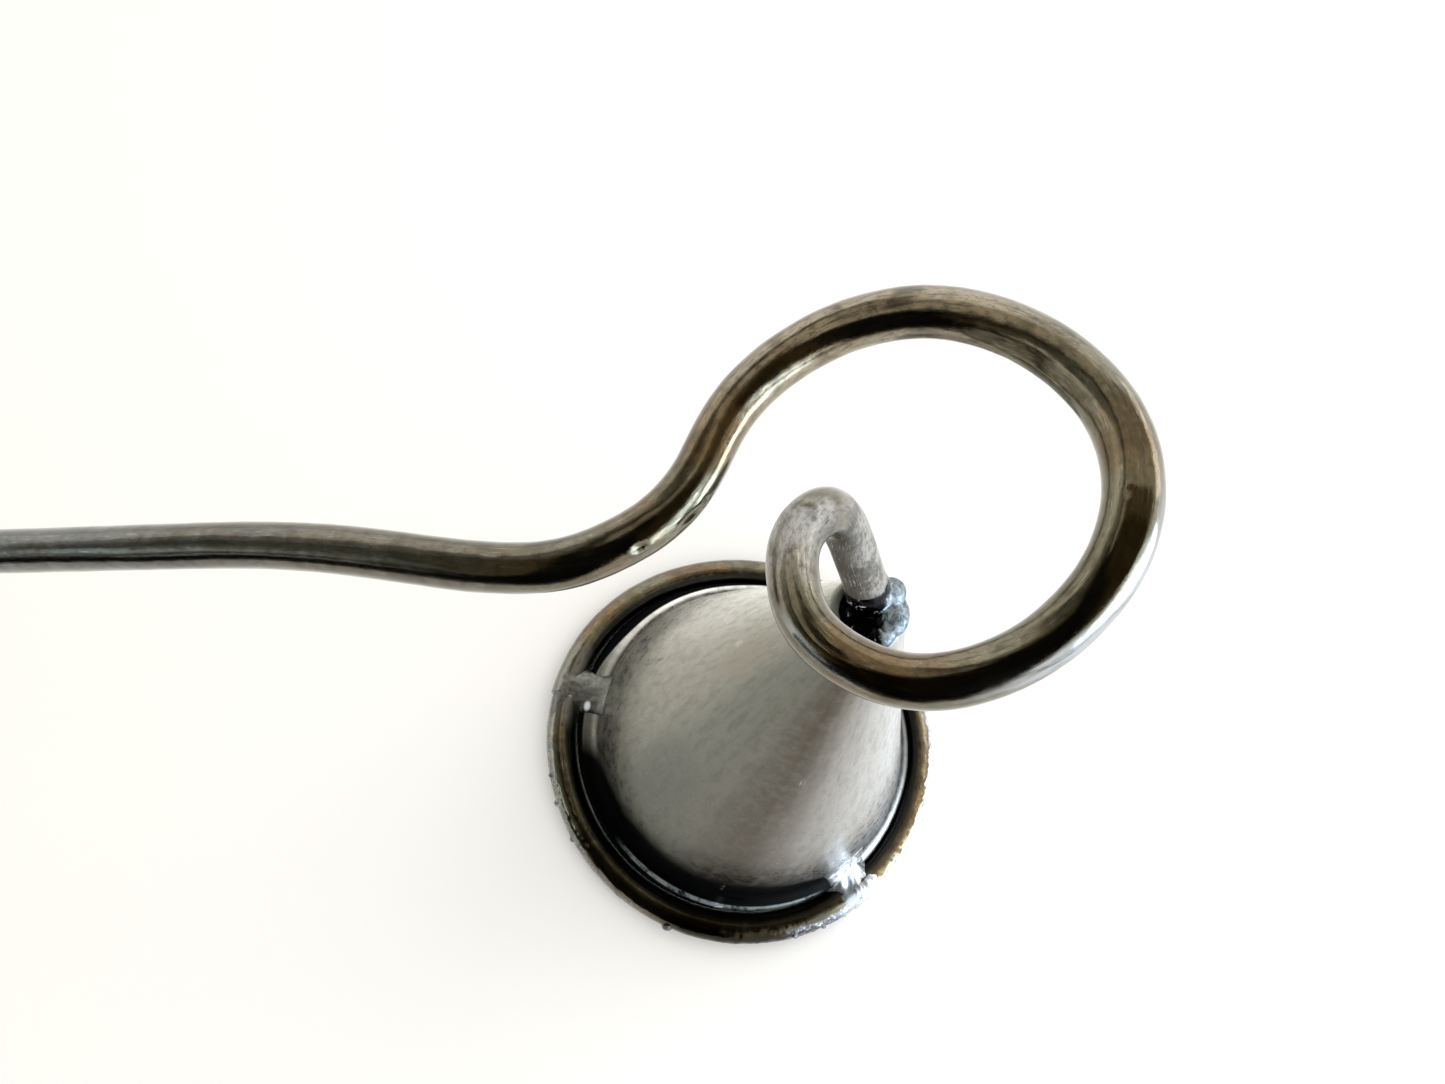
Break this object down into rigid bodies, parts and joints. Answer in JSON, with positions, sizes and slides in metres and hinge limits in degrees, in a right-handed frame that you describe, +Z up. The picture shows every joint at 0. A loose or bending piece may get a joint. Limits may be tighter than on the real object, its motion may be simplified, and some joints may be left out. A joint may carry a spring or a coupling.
{
  "type": "candle snuffer",
  "caption": "Conical sheet-metal bell with a wire rim on a bent iron rod handle, lowered over a candle flame to put it out.",
  "frame": {"origin": "centre of the bell's mouth, on the plane that the rim stands on", "axes": "+Z up along the bell's axis, -X along the handle towards its free end, as seen from above"},
  "size_m": [0.2152, 0.0554, 0.0973],
  "materials": {
    "satin_steel": "satin grey sheet, heat tinted, light scratches",
    "blackened_iron": "forge-black round bar, waxed, brown where rubbed",
    "weld_metal": "bare weld bead, bright",
    "scorched_weld": "glossy black scorched weld with bright specks"
  },
  "bodies": {
    "root": {"bell_cone": "satin_steel", "bell_seam_weld": "satin_steel", "rim_ring": "blackened_iron", "rim_weld_left": "weld_metal", "rim_weld_front": "weld_metal", "rim_weld_rear": "weld_metal", "tip_weld": "scorched_weld", "handle_rod": "blackened_iron"}
  },
  "joints": []
}
